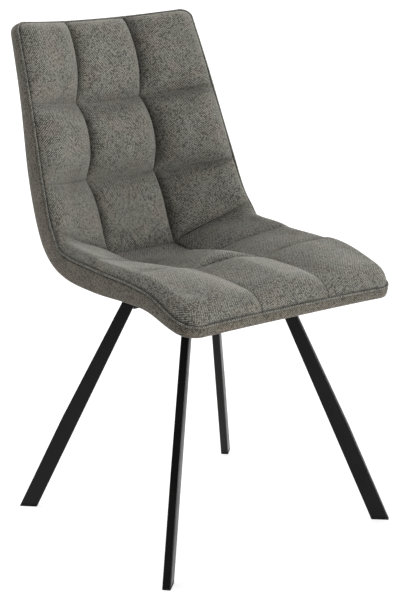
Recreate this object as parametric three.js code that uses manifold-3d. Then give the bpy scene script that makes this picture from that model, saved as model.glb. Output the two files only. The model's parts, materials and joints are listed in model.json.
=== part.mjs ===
// Upholstered dining chair: a padded plywood bucket on a welded steel frame with four splayed legs.
// Millimetres, +Z up. The chair faces -Y, so the sitter's left is +X. The feet stand on z = 0.

import * as THREE from 'three';
import { mergeVertices } from 'three/addons/utils/BufferGeometryUtils.js';
import Module from 'manifold-3d';

const wasm = await Module();
wasm.setup();

// ---------------------------------------------------------------- driving dimensions

const GAP = 0.3; // clearance between pieces that touch
const CUT_PAST = 5; // how far a cutting tool runs past the piece it cuts

// Stations along the shell's outer face, from the front edge over the crook to the top edge.
// centre and rim are [y, z] on the centre line and on the rim, half is the half width at the rim,
// band is the depth of the side band, pad is the whole upholstery's depth on the centre line, and
// dish says how late the face turns up from the centre to the rim (2 is round, 4 is nearly flat).
const STATIONS = [
  { centre: [-313, 441], rim: [-311, 438], half: 231, band: 17, pad: 30, dish: 3.0 }, // front edge
  { centre: [-262, 445], rim: [-256, 449], half: 231, band: 22, pad: 45, dish: 3.2 }, // front bend
  { centre: [-190, 449], rim: [-190, 464], half: 230, band: 29, pad: 54, dish: 3.5 }, // front of seat
  { centre: [-40, 450], rim: [-35, 461], half: 228, band: 40, pad: 42, dish: 3.5 }, // middle of seat
  { centre: [75, 450], rim: [48, 467], half: 228, band: 40, pad: 29, dish: 3.2 }, // rear of seat
  { centre: [118, 453], rim: [90, 482], half: 228, band: 38, pad: 25, dish: 2.8 }, // foot of crook
  { centre: [150, 463], rim: [120, 506], half: 227, band: 43, pad: 24, dish: 2.4 }, // crook
  { centre: [183, 492], rim: [146, 543], half: 224, band: 43, pad: 29, dish: 2.1 }, // head of crook
  { centre: [224, 594], rim: [181, 625], half: 218, band: 44, pad: 36, dish: 2.0 }, // lumbar
  { centre: [263, 738], rim: [223, 768], half: 206, band: 32, pad: 36, dish: 2.0 }, // shoulder
  { centre: [312, 880], rim: [268, 893], half: 196, band: 24, pad: 32, dish: 2.0 }, // top edge
];
const LAST_STATION = STATIONS.length - 1;
const CROOK_STATION = 6;
const SEAT_REAR_STATION = 4;
const FRONT_CORNER_R = 34;
const TOP_CORNER_R = 20;

// Upholstery layers, as depths from the outer face inwards
const CLOTH = 1.2;
const WADDING = 3.0;
const PLYWOOD = 9.0;
const QUILTED_CLOTH = 1.8;
const PLYWOOD_INSET = 4.5; // the shell's edge stays this far inside the band's outer face
const FOAM_INSET = CLOTH + GAP;
const WELT_R = 1.8;
const WELT_PROUD = 1.2; // the welt stands this far outside the band
const SIDE_CROWN = 18;
const EDGE_DROP = 1;
const END_ROLL = 50; // the pad falls to its front and top edges over this distance

// Legs: flat steel tube, broad side along the splay
const LEG_BROAD = 30;
const LEG_BROAD_TOP = 22;
const LEG_TAPER_FROM_Z = 180; // the tube keeps its full breadth below this height
const LEG_THIN = 15;
const LEG_WALL = 1.5;
const LEG_CORNER = 1.6;
const LEG_LEAST_CORNER = 0.4; // the hollow inside the tube keeps at least this much corner
const FOOT_CAP_BASE = 5;
const FOOT_CAP_PLUG = 14;
const LEG_TOP_Z = 424;
const FRONT_FOOT = { x: 245.4, y: -275.6 };
const REAR_FOOT = { x: 237.7, y: 177.5 };
const FRONT_RUN = { x: -124 / 388, y: 112.5 / 388 }; // sideways travel for each millimetre of rise
const REAR_RUN = { x: -132 / 388, y: -128 / 388 };

// Welded top frame: two cross rails between the leg tops, two side rails across them
const CROSS_RAIL_HEIGHT = 30;
const CROSS_RAIL_THIN = 15;
const SIDE_RAIL = 25;
const SIDE_RAIL_X = 82;
const SIDE_RAIL_OVERHANG = 12;
const SIDE_RAIL_TOP_Z = LEG_TOP_Z + GAP + SIDE_RAIL;

// Fasteners: M6 bolts through the side rails into T-nuts in the shell
const BOLT_R = 3.0;
const BOLT_HEAD_R = 5.2;
const BOLT_HEAD_HEIGHT = 3.3;
const BOLT_HEAD_CHAMFER = 1.5;
const BOLT_SOCKET_R = 2.2;
const BOLT_SOCKET_DEPTH = 2.0;
const BOLT_LENGTH = 38;
const WASHER_R = 7.0;
const WASHER_THICK = 1.6;
const TNUT_FLANGE_R = 9.0;
const TNUT_FLANGE = 1.2;
const TNUT_BARREL_R = 4.2;
const TNUT_BARREL = 7.5;
const BOLT_Y = [-110, 10];
const UNDER_HOLE_R = 4; // hole in the under cover round a bolt

// ---------------------------------------------------------------- materials

const material = (color, roughness, metalness) => () =>
  new THREE.MeshStandardMaterial({ color, roughness, metalness });
const tweed = material(0x615f5a, 0.95, 0);
const bandTweed = material(0x56524a, 0.95, 0);
const blackCloth = material(0x1c1c1c, 0.9, 0);
const foam = material(0xd8cfa8, 0.9, 0);
const wadding = material(0xe8e6e0, 1.0, 0);
const plywood = material(0xc39a66, 0.6, 0);
const blackSteel = material(0x151515, 0.35, 0.4);
const blackPlastic = material(0x181818, 0.5, 0);
const zincSteel = material(0xb5b8bb, 0.35, 1);

// ---------------------------------------------------------------- shell surface

const centreCurve = new THREE.CatmullRomCurve3(
  STATIONS.map((s) => new THREE.Vector3(0, s.centre[0], s.centre[1])),
);
const rimCurve = new THREE.CatmullRomCurve3(
  STATIONS.map((s) => new THREE.Vector3(s.half, s.rim[0], s.rim[1])),
);
const sizeCurve = new THREE.CatmullRomCurve3(
  STATIONS.map((s) => new THREE.Vector3(s.band, s.pad, s.dish * 10)),
);
centreCurve.arcLengthDivisions = 400;
const SHELL_LENGTH = centreCurve.getLength();

// Curve parameter of the station that lies this far along the centre line from the front edge
function stationAt(distance) {
  return centreCurve.getUtoTmapping(0, THREE.MathUtils.clamp(distance, 0, SHELL_LENGTH));
}

// Distance along the centre line of a numbered station
function distanceOf(station) {
  const lengths = centreCurve.getLengths();
  return lengths[Math.round((station / LAST_STATION) * (lengths.length - 1))];
}

// Point on the shell's outer face
function facePoint(distance, x) {
  const t = stationAt(distance);
  const centre = centreCurve.getPoint(t);
  const rim = rimCurve.getPoint(t);
  const dish = sizeCurve.getPoint(t).z / 10;
  const rise = Math.abs(x / rim.x) ** dish;
  return new THREE.Vector3(
    x,
    THREE.MathUtils.lerp(centre.y, rim.y, rise),
    THREE.MathUtils.lerp(centre.z, rim.z, rise),
  );
}

// Unit vector square to the outer face within the plane of constant x, pointing to the sitter.
// Every layer is raised along it, so the side band stands parallel to the chair's middle plane.
function faceNormal(distance, x) {
  const step = 2;
  const from = facePoint(Math.max(distance - step, 0), x);
  const to = facePoint(Math.min(distance + step, SHELL_LENGTH), x);
  return new THREE.Vector3(0, from.z - to.z, to.y - from.y).normalize();
}

function raisedPoint(distance, x, height) {
  return facePoint(distance, x).addScaledVector(faceNormal(distance, x), height);
}

// Depth of the upholstery: the pad's depth in the middle, a little less than the band's depth at
// the rim, a crown over the side cells between them, and a roll down to the front and top edges
function padDepth(distance, x) {
  const t = stationAt(distance);
  const { x: band, y: pad } = sizeCurve.getPoint(t);
  const across = Math.min(Math.abs(x) / rimCurve.getPoint(t).x, 1);
  const crown = SIDE_CROWN * Math.sin(Math.PI * across) ** 2;
  const edge = band - EDGE_DROP;
  const inner = THREE.MathUtils.lerp(pad, edge, across ** 2) + crown;
  const toEnd = Math.min(distance, SHELL_LENGTH - distance, END_ROLL);
  return THREE.MathUtils.lerp(edge, inner, Math.sin((Math.PI / 2) * (toEnd / END_ROLL)));
}

// ---------------------------------------------------------------- mesh building

function geometryFrom(points, triangles) {
  const geometry = new THREE.BufferGeometry();
  const coordinates = points.flatMap((point) => point.toArray());
  geometry.setAttribute('position', new THREE.Float32BufferAttribute(coordinates, 3));
  geometry.setIndex(triangles.flat());
  return geometry;
}

// Closed loop of equal closed sections, such as a ring of tube
function loopSolid(sections) {
  const count = sections[0].length;
  const triangles = [];
  sections.forEach((_, i) => {
    const next = ((i + 1) % sections.length) * count;
    for (let j = 0; j < count; j += 1) {
      const a = i * count + j;
      const b = i * count + ((j + 1) % count);
      const c = next + ((j + 1) % count);
      const d = next + j;
      triangles.push([a, b, c], [a, c, d]);
    }
  });
  return geometryFrom(sections.flat(), triangles);
}

// Straight loft through equal sections, closed by flat ends; sections run anticlockwise from above
function loftSolid(sections) {
  const count = sections[0].length;
  const triangles = [];
  for (let i = 0; i < sections.length - 1; i += 1) {
    for (let j = 0; j < count; j += 1) {
      const a = i * count + j;
      const b = i * count + ((j + 1) % count);
      triangles.push([a, b, b + count], [a, b + count, a + count]);
    }
  }
  const top = (sections.length - 1) * count;
  for (let j = 1; j < count - 1; j += 1) {
    triangles.push([0, j + 1, j], [top, top + j, top + j + 1]);
  }
  return geometryFrom(sections.flat(), triangles);
}

function toManifold(geometry) {
  const bare = geometry.index ? geometry.clone() : mergeVertices(geometry);
  bare.deleteAttribute('normal');
  bare.deleteAttribute('uv');
  const merged = mergeVertices(bare, 1e-4);
  return new wasm.Manifold(new wasm.Mesh({
    numProp: 3,
    vertProperties: new Float32Array(merged.attributes.position.array),
    triVerts: new Uint32Array(merged.index.array),
  }));
}

function fromManifold(solid) {
  const mesh = solid.getMesh();
  const geometry = new THREE.BufferGeometry();
  geometry.setAttribute('position', new THREE.Float32BufferAttribute(mesh.vertProperties, 3));
  geometry.setIndex(new THREE.Uint32BufferAttribute(mesh.triVerts, 1));
  return geometry;
}

function cut(geometry, tools) {
  let solid = toManifold(geometry);
  tools.forEach((tool) => {
    solid = solid.subtract(toManifold(tool));
  });
  return fromManifold(solid);
}

// Solid turned about a vertical axis at (x, y); the profile is a list of [radius, z]
function turned(profile, x, y, sides = 20) {
  const geometry = new THREE.LatheGeometry(profile.map(([r, z]) => new THREE.Vector2(r, z)), sides);
  return geometry.rotateX(Math.PI / 2).translate(x, y, 0);
}

function verticalPin(radius, x, y, zFrom, zTo) {
  return turned([[0, zFrom], [radius, zFrom], [radius, zTo], [0, zTo]], x, y);
}

// ---------------------------------------------------------------- shell layers

const ACROSS = [-1, -0.9, -0.72, -0.48, -0.24, 0, 0.24, 0.48, 0.72, 0.9, 1];
const CORNER_STEPS = [0, 0.08, 0.3, 0.65]; // rows through a round corner, as shares of its radius
const CORNER_CLEAR = 0.9; // no other row lies nearer the end than this share of the radius
const STRAIGHT_CLEAR = 6; // and none lies nearer to a straight cut than this
const ROWS_PER_STATION = 2;

// How much narrower a row is that lies this far from an end edge with round corners
function cornerLoss(fromEdge, radius) {
  if (fromEdge >= radius) return 0;
  return radius - Math.sqrt(radius ** 2 - (radius - fromEdge) ** 2);
}

// Rows of the shell's outline, drawn in by inset; from and to are stations, and an end that is
// the shell's own end has round corners, while another end is a straight cut
function outlineRows(inset, from = 0, to = LAST_STATION) {
  const frontR = FRONT_CORNER_R - inset;
  const topR = TOP_CORNER_R - inset;
  const start = from === 0 ? inset : distanceOf(from) + GAP / 2;
  const end = to === LAST_STATION ? SHELL_LENGTH - inset : distanceOf(to) - GAP / 2;
  const distances = [];
  if (from === 0) distances.push(...CORNER_STEPS.map((f) => start + f * frontR));
  else distances.push(start);
  for (let k = 1; k < LAST_STATION * ROWS_PER_STATION; k += 1) {
    const distance = distanceOf(k / ROWS_PER_STATION);
    const lowest = start + (from === 0 ? frontR * CORNER_CLEAR : STRAIGHT_CLEAR);
    const highest = end - (to === LAST_STATION ? topR * CORNER_CLEAR : STRAIGHT_CLEAR);
    if (distance > lowest && distance < highest) distances.push(distance);
  }
  if (to === LAST_STATION) distances.push(...CORNER_STEPS.map((f) => end - f * topR).reverse());
  else distances.push(end);
  return distances.map((distance) => {
    let half = rimCurve.getPoint(stationAt(distance)).x - inset;
    if (from === 0) half -= cornerLoss(distance - start, frontR);
    if (to === LAST_STATION) half -= cornerLoss(end - distance, topR);
    return { distance, half };
  });
}

// Closed layer over the outline between two depths, each a function of distance and x
function layerSolid(rows, lower, upper) {
  const columns = ACROSS.length;
  const points = [];
  [lower, upper].forEach((depth) => {
    rows.forEach(({ distance, half }) => {
      ACROSS.map((share) => share * half).forEach((x) => {
        points.push(raisedPoint(distance, x, depth(distance, x)));
      });
    });
  });
  const above = rows.length * columns;
  const triangles = [];
  for (let i = 0; i < rows.length - 1; i += 1) {
    for (let j = 0; j < columns - 1; j += 1) {
      const a = i * columns + j;
      const b = a + 1;
      const c = b + columns;
      const d = a + columns;
      triangles.push([a, c, b], [a, d, c]);
      triangles.push([above + a, above + b, above + c], [above + a, above + c, above + d]);
    }
  }
  // Both sides of a shared edge split their walls along the same diagonals
  boundary(rows.length, columns).forEach(([a, b]) => {
    if (a < b) triangles.push([a, b, above + b], [a, above + b, above + a]);
    else triangles.push([a, b, above + a], [b, above + b, above + a]);
  });
  return geometryFrom(points, triangles);
}

// Pairs of neighbouring grid points round the edge of a grid, anticlockwise from above
function boundary(rows, columns) {
  const ring = ringOf(rows, columns);
  return ring.map((a, i) => [a, ring[(i + 1) % ring.length]]);
}

function ringOf(rows, columns) {
  const ring = [];
  for (let j = 0; j < columns - 1; j += 1) ring.push(j);
  for (let i = 0; i < rows - 1; i += 1) ring.push(i * columns + columns - 1);
  for (let j = columns - 1; j > 0; j -= 1) ring.push((rows - 1) * columns + j);
  for (let i = rows - 1; i > 0; i -= 1) ring.push(i * columns);
  return ring;
}

// Points round the outline drawn in by inset, each at a height that heightAt gives for it
function outlineRing(inset, heightAt) {
  const rows = outlineRows(inset);
  const columns = ACROSS.length;
  return ringOf(rows.length, columns).map((index) => {
    const { distance, half } = rows[Math.floor(index / columns)];
    const x = ACROSS[index % columns] * half;
    return raisedPoint(distance, x, heightAt(distance));
  });
}

const bandDepth = (distance) => sizeCurve.getPoint(stationAt(distance)).x;
const constant = (value) => () => value;
const belowPad = (margin) => (distance, x) => padDepth(distance, x) - margin;

// ---------------------------------------------------------------- upholstered shell

const BACK_SKIN = CLOTH + GAP;
const PLY_FROM = BACK_SKIN + WADDING + GAP;
const PLY_TO = PLY_FROM + PLYWOOD;
const FOAM_FROM = PLY_TO + GAP;
const COVER_FROM = QUILTED_CLOTH;
const FOAM_TO = COVER_FROM + GAP;

// Every place of one bolt and its T-nut
const boltPlaces = [-1, 1].flatMap((side) => BOLT_Y.map((y) => ({ side, x: side * SIDE_RAIL_X, y })));
const SHELL_FLOOR_Z = STATIONS[SEAT_REAR_STATION].centre[1];

function plywoodShell() {
  const body = layerSolid(outlineRows(PLYWOOD_INSET), constant(PLY_FROM), constant(PLY_TO));
  const flangeBed = SHELL_FLOOR_Z + PLY_TO - TNUT_FLANGE - GAP;
  const above = SHELL_FLOOR_Z + PLY_TO + CUT_PAST;
  const holes = boltPlaces.flatMap(({ x, y }) => [
    verticalPin(TNUT_BARREL_R + GAP, x, y, SHELL_FLOOR_Z - CUT_PAST, above),
    verticalPin(TNUT_FLANGE_R + GAP, x, y, flangeBed, above),
  ]);
  return cut(body, holes);
}

function seatFoam() {
  const rows = outlineRows(FOAM_INSET, 0, CROOK_STATION);
  return layerSolid(rows, constant(FOAM_FROM), belowPad(FOAM_TO));
}

function backFoam() {
  const rows = outlineRows(FOAM_INSET, CROOK_STATION, LAST_STATION);
  return layerSolid(rows, constant(FOAM_FROM), belowPad(FOAM_TO));
}

function quiltedCover() {
  return layerSolid(outlineRows(FOAM_INSET), belowPad(COVER_FROM), belowPad(0));
}

function backWadding() {
  const rows = outlineRows(PLYWOOD_INSET, SEAT_REAR_STATION, LAST_STATION);
  return layerSolid(rows, constant(BACK_SKIN), constant(BACK_SKIN + WADDING));
}

function backCover() {
  const rows = outlineRows(FOAM_INSET, SEAT_REAR_STATION, LAST_STATION);
  return layerSolid(rows, constant(0), constant(CLOTH));
}

function underCover() {
  const rows = outlineRows(FOAM_INSET, 0, SEAT_REAR_STATION);
  const holes = boltPlaces.map(({ x, y }) => (
    verticalPin(UNDER_HOLE_R, x, y, SHELL_FLOOR_Z - CUT_PAST, SHELL_FLOOR_Z + CUT_PAST)
  ));
  return cut(layerSolid(rows, constant(0), constant(CLOTH)), holes);
}

function sideBand() {
  const outerLow = outlineRing(0, constant(0));
  const top = (distance) => bandDepth(distance) - GAP;
  const outerHigh = outlineRing(0, top);
  const innerHigh = outlineRing(CLOTH, top);
  const innerLow = outlineRing(CLOTH, constant(0));
  return loopSolid(outerLow.map((_, i) => [outerLow[i], innerLow[i], innerHigh[i], outerHigh[i]]));
}

// Round piping on top of the band, built as a ring of octagons
function welt() {
  const sides = 8;
  const inner = outlineRing(2 * WELT_R, bandDepth);
  const outer = outlineRing(0, bandDepth);
  const high = outlineRing(0, (distance) => bandDepth(distance) + 2 * WELT_R);
  return loopSolid(outer.map((point, i) => {
    const outward = point.clone().sub(inner[i]).normalize();
    const up = high[i].clone().sub(point).normalize();
    const centre = point.clone()
      .addScaledVector(outward, WELT_PROUD - WELT_R)
      .addScaledVector(up, WELT_R + GAP);
    return Array.from({ length: sides }, (_, k) => {
      const angle = (-2 * Math.PI * k) / sides;
      return centre.clone()
        .addScaledVector(outward, WELT_R * Math.cos(angle))
        .addScaledVector(up, WELT_R * Math.sin(angle));
    });
  }));
}

// ---------------------------------------------------------------- legs and top frame

// Horizontal section of a leg: a rectangle with clipped corners, broad side along the splay.
// The taper is all on the outer edge, so the inner edge is straight.
function legSection(leg, z, margin) {
  const splay = new THREE.Vector2(-leg.run.x, -leg.run.y);
  const slope = splay.length();
  const along = splay.normalize();
  const sideways = new THREE.Vector2(-along.y, along.x);
  const taper = THREE.MathUtils.clamp((z - LEG_TAPER_FROM_Z) / (LEG_TOP_Z - LEG_TAPER_FROM_Z), 0, 1);
  const stretch = Math.hypot(1, slope);
  const loss = (LEG_BROAD - LEG_BROAD_TOP) * taper * stretch;
  const a = (LEG_BROAD * stretch - loss) / 2 + margin;
  const b = LEG_THIN / 2 + margin;
  const c = Math.max(LEG_CORNER + margin / 2, LEG_LEAST_CORNER);
  const quarter = [[a, b - c], [a - c, b]];
  const half = [...quarter, ...quarter.map(([u, v]) => [-u, v]).reverse()];
  const outline = [...half, ...half.map(([u, v]) => [-u, -v])];
  return outline.map(([u, v]) => new THREE.Vector3(
    leg.foot.x + leg.run.x * z + along.x * (u - loss / 2) + sideways.x * v,
    leg.foot.y + leg.run.y * z + along.y * (u - loss / 2) + sideways.y * v,
    z,
  ));
}

function legBar(leg, zFrom, zTo, margin) {
  const heights = [zFrom, zTo];
  if (zFrom < LEG_TAPER_FROM_Z && LEG_TAPER_FROM_Z < zTo) heights.splice(1, 0, LEG_TAPER_FROM_Z);
  return loftSolid(heights.map((z) => legSection(leg, z, margin)));
}

function legTube(leg) {
  const hollow = legBar(leg, 0, LEG_TOP_Z + CUT_PAST, -LEG_WALL);
  return cut(legBar(leg, FOOT_CAP_BASE + GAP, LEG_TOP_Z, 0), [hollow]);
}

function footCap(leg) {
  const base = toManifold(legBar(leg, 0, FOOT_CAP_BASE, 0));
  const plugTop = FOOT_CAP_BASE + FOOT_CAP_PLUG;
  const plug = toManifold(legBar(leg, FOOT_CAP_BASE / 2, plugTop, -LEG_WALL - GAP));
  return fromManifold(base.add(plug));
}

function makeLeg(name, footPlace, runPlace, side) {
  return {
    name,
    foot: { x: side * footPlace.x, y: footPlace.y },
    run: { x: side * runPlace.x, y: runPlace.y },
  };
}

const legs = [
  makeLeg('front_left', FRONT_FOOT, FRONT_RUN, 1),
  makeLeg('front_right', FRONT_FOOT, FRONT_RUN, -1),
  makeLeg('rear_left', REAR_FOOT, REAR_RUN, 1),
  makeLeg('rear_right', REAR_FOOT, REAR_RUN, -1),
];

function legTopPlace(foot, run) {
  return { x: foot.x + run.x * LEG_TOP_Z, y: foot.y + run.y * LEG_TOP_Z };
}

const frontTop = legTopPlace(FRONT_FOOT, FRONT_RUN);
const rearTop = legTopPlace(REAR_FOOT, REAR_RUN);

// Tube with a hollow right through it, along the named axis
function boxTube(along, length, width, height, x, y, zTop) {
  const outer = along === 'x' ? [length, width, height] : [width, length, height];
  const inner = outer.map((size) => size - 2 * LEG_WALL);
  inner[along === 'x' ? 0 : 1] = length + 2 * CUT_PAST;
  const place = (geometry) => geometry.translate(x, y, zTop - height / 2);
  return cut(place(new THREE.BoxGeometry(...outer)), [place(new THREE.BoxGeometry(...inner))]);
}

// Each cross rail butts against the broad faces of its two legs
function crossRail(top) {
  const rail = boxTube('x', 2 * top.x, CROSS_RAIL_THIN, CROSS_RAIL_HEIGHT, 0, top.y, LEG_TOP_Z);
  const bottom = LEG_TOP_Z - CROSS_RAIL_HEIGHT;
  return cut(rail, legs.map((leg) => legBar(leg, bottom - CUT_PAST, LEG_TOP_Z + CUT_PAST, GAP)));
}

function sideRail(side) {
  const length = rearTop.y - frontTop.y + CROSS_RAIL_THIN + 2 * SIDE_RAIL_OVERHANG;
  const x = side * SIDE_RAIL_X;
  const y = (rearTop.y + frontTop.y) / 2;
  const tube = boxTube('y', length, SIDE_RAIL, SIDE_RAIL, x, y, SIDE_RAIL_TOP_Z);
  const holes = BOLT_Y.map((boltY) => (
    verticalPin(BOLT_R + GAP, x, boltY, LEG_TOP_Z - CUT_PAST, SIDE_RAIL_TOP_Z + CUT_PAST)
  ));
  return cut(tube, holes);
}

// ---------------------------------------------------------------- fasteners

const HEAD_TOP_Z = LEG_TOP_Z - WASHER_THICK - GAP; // the bolt head's shoulder, under its washer

function bolt(x, y) {
  const bottom = HEAD_TOP_Z - BOLT_HEAD_HEIGHT;
  return turned([
    [0, bottom + BOLT_SOCKET_DEPTH],
    [BOLT_SOCKET_R, bottom + BOLT_SOCKET_DEPTH],
    [BOLT_SOCKET_R, bottom],
    [BOLT_HEAD_R - BOLT_HEAD_CHAMFER, bottom],
    [BOLT_HEAD_R, bottom + BOLT_HEAD_CHAMFER],
    [BOLT_HEAD_R, HEAD_TOP_Z],
    [BOLT_R, HEAD_TOP_Z],
    [BOLT_R, HEAD_TOP_Z + BOLT_LENGTH],
    [0, HEAD_TOP_Z + BOLT_LENGTH],
  ], x, y);
}

function ring(inner, outer, zFrom, zTo, x, y) {
  return turned([[inner, zFrom], [outer, zFrom], [outer, zTo], [inner, zTo], [inner, zFrom]], x, y);
}

function washer(x, y) {
  return ring(BOLT_R + GAP, WASHER_R, HEAD_TOP_Z + GAP, HEAD_TOP_Z + GAP + WASHER_THICK, x, y);
}

function tNut(x, y) {
  const flangeTop = SHELL_FLOOR_Z + PLY_TO;
  const flangeBottom = flangeTop - TNUT_FLANGE;
  return turned([
    [BOLT_R + GAP, flangeTop - TNUT_BARREL],
    [TNUT_BARREL_R, flangeTop - TNUT_BARREL],
    [TNUT_BARREL_R, flangeBottom],
    [TNUT_FLANGE_R, flangeBottom],
    [TNUT_FLANGE_R, flangeTop],
    [BOLT_R + GAP, flangeTop],
    [BOLT_R + GAP, flangeTop - TNUT_BARREL],
  ], x, y);
}

// ---------------------------------------------------------------- assembly

const chair = new THREE.Group();

function addPiece(name, geometry, makeMaterial) {
  const mesh = new THREE.Mesh(geometry, makeMaterial());
  mesh.name = name;
  chair.add(mesh);
}

addPiece('plywood_shell', plywoodShell(), plywood);
addPiece('seat_foam', seatFoam(), foam);
addPiece('back_foam', backFoam(), foam);
addPiece('back_wadding', backWadding(), wadding);
addPiece('quilted_cover', quiltedCover(), tweed);
addPiece('side_band', sideBand(), bandTweed);
addPiece('welt', welt(), tweed);
addPiece('back_cover', backCover(), bandTweed);
addPiece('under_cover', underCover(), blackCloth);

legs.forEach((leg) => {
  addPiece(`leg_${leg.name}`, legTube(leg), blackSteel);
  addPiece(`foot_cap_${leg.name}`, footCap(leg), blackPlastic);
});
addPiece('cross_rail_front', crossRail(frontTop), blackSteel);
addPiece('cross_rail_rear', crossRail(rearTop), blackSteel);
addPiece('side_rail_left', sideRail(1), blackSteel);
addPiece('side_rail_right', sideRail(-1), blackSteel);

boltPlaces.forEach(({ side, x, y }) => {
  const place = `${y === BOLT_Y[0] ? 'front' : 'rear'}_${side > 0 ? 'left' : 'right'}`;
  addPiece(`bolt_${place}`, bolt(x, y), zincSteel);
  addPiece(`washer_${place}`, washer(x, y), zincSteel);
  addPiece(`t_nut_${place}`, tNut(x, y), zincSteel);
});

// The origin is at the middle of the chair's footprint box, on the floor
const box = new THREE.Box3().setFromObject(chair);
chair.position.y = -(box.min.y + box.max.y) / 2;

export default chair;
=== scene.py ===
"""Looks of an upholstered dining chair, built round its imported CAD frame.

The shell, pad and covers are worked out in millimetres, as in the CAD source. Meshes, materials, lights and
the camera are in metres. +Z is up and the chair faces -Y, so the sitter's left is +X.
"""

import json
import math

import bmesh
import bpy
import numpy as np
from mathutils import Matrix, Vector


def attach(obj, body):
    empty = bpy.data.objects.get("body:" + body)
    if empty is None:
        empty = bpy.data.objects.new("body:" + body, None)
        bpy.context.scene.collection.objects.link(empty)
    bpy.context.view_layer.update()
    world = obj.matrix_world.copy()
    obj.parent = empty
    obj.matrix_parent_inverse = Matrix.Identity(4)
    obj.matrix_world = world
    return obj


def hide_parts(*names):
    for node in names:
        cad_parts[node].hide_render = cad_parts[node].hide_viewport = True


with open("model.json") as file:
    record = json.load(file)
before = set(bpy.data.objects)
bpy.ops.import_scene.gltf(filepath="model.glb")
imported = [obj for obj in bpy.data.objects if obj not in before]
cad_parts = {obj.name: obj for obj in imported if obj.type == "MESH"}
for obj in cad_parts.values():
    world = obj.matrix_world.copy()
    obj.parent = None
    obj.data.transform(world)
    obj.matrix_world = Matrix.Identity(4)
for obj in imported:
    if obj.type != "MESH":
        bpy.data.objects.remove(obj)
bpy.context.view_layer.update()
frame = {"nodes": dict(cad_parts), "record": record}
MM = 0.001

# ------------------------------------------------------------------ shell surface, in millimetres

# Stations from the front edge to the top edge: centre y and z, rim y and z, half width at the rim,
# depth of the side band, depth of the upholstery on the centre line, and dish, which says how late
# the face turns up from centre to rim
STATIONS = np.array([
    (-313, 441, -311, 438, 231, 17, 30, 3.0),
    (-262, 445, -256, 449, 231, 22, 45, 3.2),
    (-190, 449, -190, 464, 230, 29, 54, 3.5),
    (-40, 450, -35, 461, 228, 40, 42, 3.5),
    (75, 450, 48, 467, 228, 40, 29, 3.2),
    (118, 453, 90, 482, 228, 38, 25, 2.8),
    (150, 463, 120, 506, 227, 43, 24, 2.4),
    (183, 492, 146, 543, 224, 43, 29, 2.1),
    (224, 594, 181, 625, 218, 44, 36, 2.0),
    (263, 738, 223, 768, 206, 32, 36, 2.0),
    (312, 880, 268, 893, 196, 24, 32, 2.0),
], float)
CENTRE = STATIONS[:, [0, 1]]  # y, z
RIM = STATIONS[:, [4, 2, 3]]  # x, y, z
DISH_SCALE = 10  # makes the dish as large as the depths that share its curve
DEPTHS = STATIONS[:, [5, 6, 7]] * (1, 1, DISH_SCALE)  # band, upholstery, dish

SHIFT_Y = 2.36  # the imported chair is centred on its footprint
REAR_OF_SEAT = 4  # the station where the back cover meets the under cover
FRONT_CORNER_R = 34
TOP_CORNER_R = 20
WELT_R = 1.9
LAST = len(STATIONS) - 1
SLOPE_STEP = 2.0  # half the distance over which the face's slope is measured


def along_curve(points, t):
    """Points of a centripetal Catmull-Rom curve through the given points, at t from 0 to 1."""
    place = np.clip(np.atleast_1d(t), 0, 1) * (len(points) - 1)
    i = np.minimum(place.astype(int), len(points) - 2)
    w = (place - i)[:, None]
    padded = np.vstack([2 * points[0] - points[1], points, 2 * points[-1] - points[-2]])
    p0, p1, p2, p3 = (padded[i + k] for k in range(4))

    def root_gap(a, b):
        return (((a - b) ** 2).sum(1) ** 0.25)[:, None]

    d0 = root_gap(p0, p1)
    d1 = root_gap(p1, p2)
    d2 = root_gap(p2, p3)
    t1 = ((p1 - p0) / d0 - (p2 - p0) / (d0 + d1) + (p2 - p1) / d1) * d1
    t2 = ((p2 - p1) / d1 - (p3 - p1) / (d1 + d2) + (p3 - p2) / d2) * d1
    return p1 + t1 * w + (3 * (p2 - p1) - 2 * t1 - t2) * w**2 + (2 * (p1 - p2) + t1 + t2) * w**3


SAMPLE_T = np.linspace(0, 1, 4001)
SAMPLE_STEPS = np.linalg.norm(np.diff(along_curve(CENTRE, SAMPLE_T), axis=0), axis=1)
SAMPLE_LENGTH = np.concatenate([[0], np.cumsum(SAMPLE_STEPS)])
LENGTH = SAMPLE_LENGTH[-1]


def station_at(s):
    return np.interp(s, SAMPLE_LENGTH, SAMPLE_T)


def distance_of(station):
    return float(np.interp(station / LAST, SAMPLE_T, SAMPLE_LENGTH))


def half_width(s):
    return along_curve(RIM, station_at(np.ravel(s)))[:, 0].reshape(np.shape(s))


def band_depth(s):
    return along_curve(DEPTHS, station_at(np.ravel(s)))[:, 0].reshape(np.shape(s))


def face(s, x):
    """Points of the shell's outer face, s along its centre line from the front edge."""
    s, x = np.broadcast_arrays(np.asarray(s, float), np.asarray(x, float))
    t = station_at(s.ravel())
    centre = along_curve(CENTRE, t)
    rim = along_curve(RIM, t)
    dish = along_curve(DEPTHS, t)[:, 2] / DISH_SCALE
    rise = (np.abs(x.ravel() / rim[:, 0]) ** dish)[:, None]
    yz = centre + (rim[:, 1:] - centre) * rise
    return np.column_stack([x.ravel(), yz[:, 0] + SHIFT_Y, yz[:, 1]]).reshape(s.shape + (3,))


def raised(s, x, height):
    """Points above the outer face, square to it within the plane of constant x."""
    ahead = face(np.clip(np.asarray(s, float) + SLOPE_STEP, 0, LENGTH), x)
    behind = face(np.clip(np.asarray(s, float) - SLOPE_STEP, 0, LENGTH), x)
    gone = ahead - behind
    up = np.stack([np.zeros(gone.shape[:-1]), -gone[..., 2], gone[..., 1]], -1)
    up /= np.linalg.norm(up, axis=-1, keepdims=True)
    return face(s, x) + up * np.broadcast_to(height, up.shape[:-1])[..., None]


def corner_loss(from_edge, radius):
    """How much narrower the outline is at this distance from an end edge with round corners."""
    left = np.clip(radius - np.asarray(from_edge, float), 0, radius)
    return radius - np.sqrt(radius**2 - left**2)


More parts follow.
